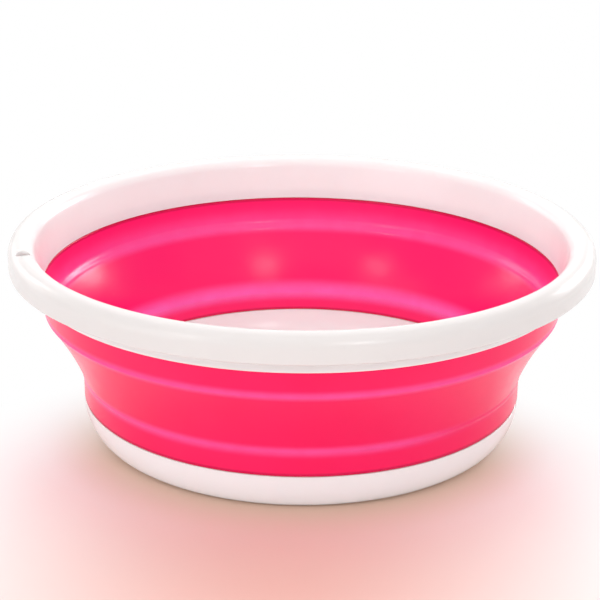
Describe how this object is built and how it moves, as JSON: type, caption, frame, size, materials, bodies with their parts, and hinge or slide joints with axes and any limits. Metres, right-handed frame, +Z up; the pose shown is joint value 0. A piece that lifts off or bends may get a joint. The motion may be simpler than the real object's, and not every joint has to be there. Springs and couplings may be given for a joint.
{
  "type": "collapsible wash basin",
  "caption": "Round wash basin: white rolled rim with a hang hole, soft pink wall that folds inside out so that the basin flattens, and a white dished base on a foot ring.",
  "frame": {"origin": "on the basin's axis, in the plane that the foot ring stands on", "axes": "+Z up along the basin's axis; the hang hole is at the -X end, 15.5 degrees round towards -Y, and -Y faces the picture's camera"},
  "size_m": [0.3612, 0.3612, 0.1262],
  "materials": {
    "base_white": "smooth, glossy white injection-moulded polypropylene",
    "rim_white": "smooth, glossy white injection-moulded polypropylene",
    "wall_pink": "satin, bright pink thermoplastic elastomer with soft highlights"
  },
  "bodies": {
    "base": {"base": "base_white", "lower_band": "wall_pink"},
    "fold": {"middle_band": "wall_pink"},
    "rim": {"rim": "rim_white", "upper_band": "wall_pink"}
  },
  "joints": [
    {"name": "collapse", "type": "slide", "parent": "base", "child": "rim", "axis": [0, 0, -1], "range_m": [0, 0.076], "deforming": ["middle_band"]},
    {"name": "wall_fold", "type": "slide", "parent": "base", "child": "fold", "axis": [0, 0, -1], "range_m": [0, 0.038]}
  ],
  "couplings": [
    {"joint": "wall_fold", "follows": "collapse", "ratio": 0.5}
  ]
}
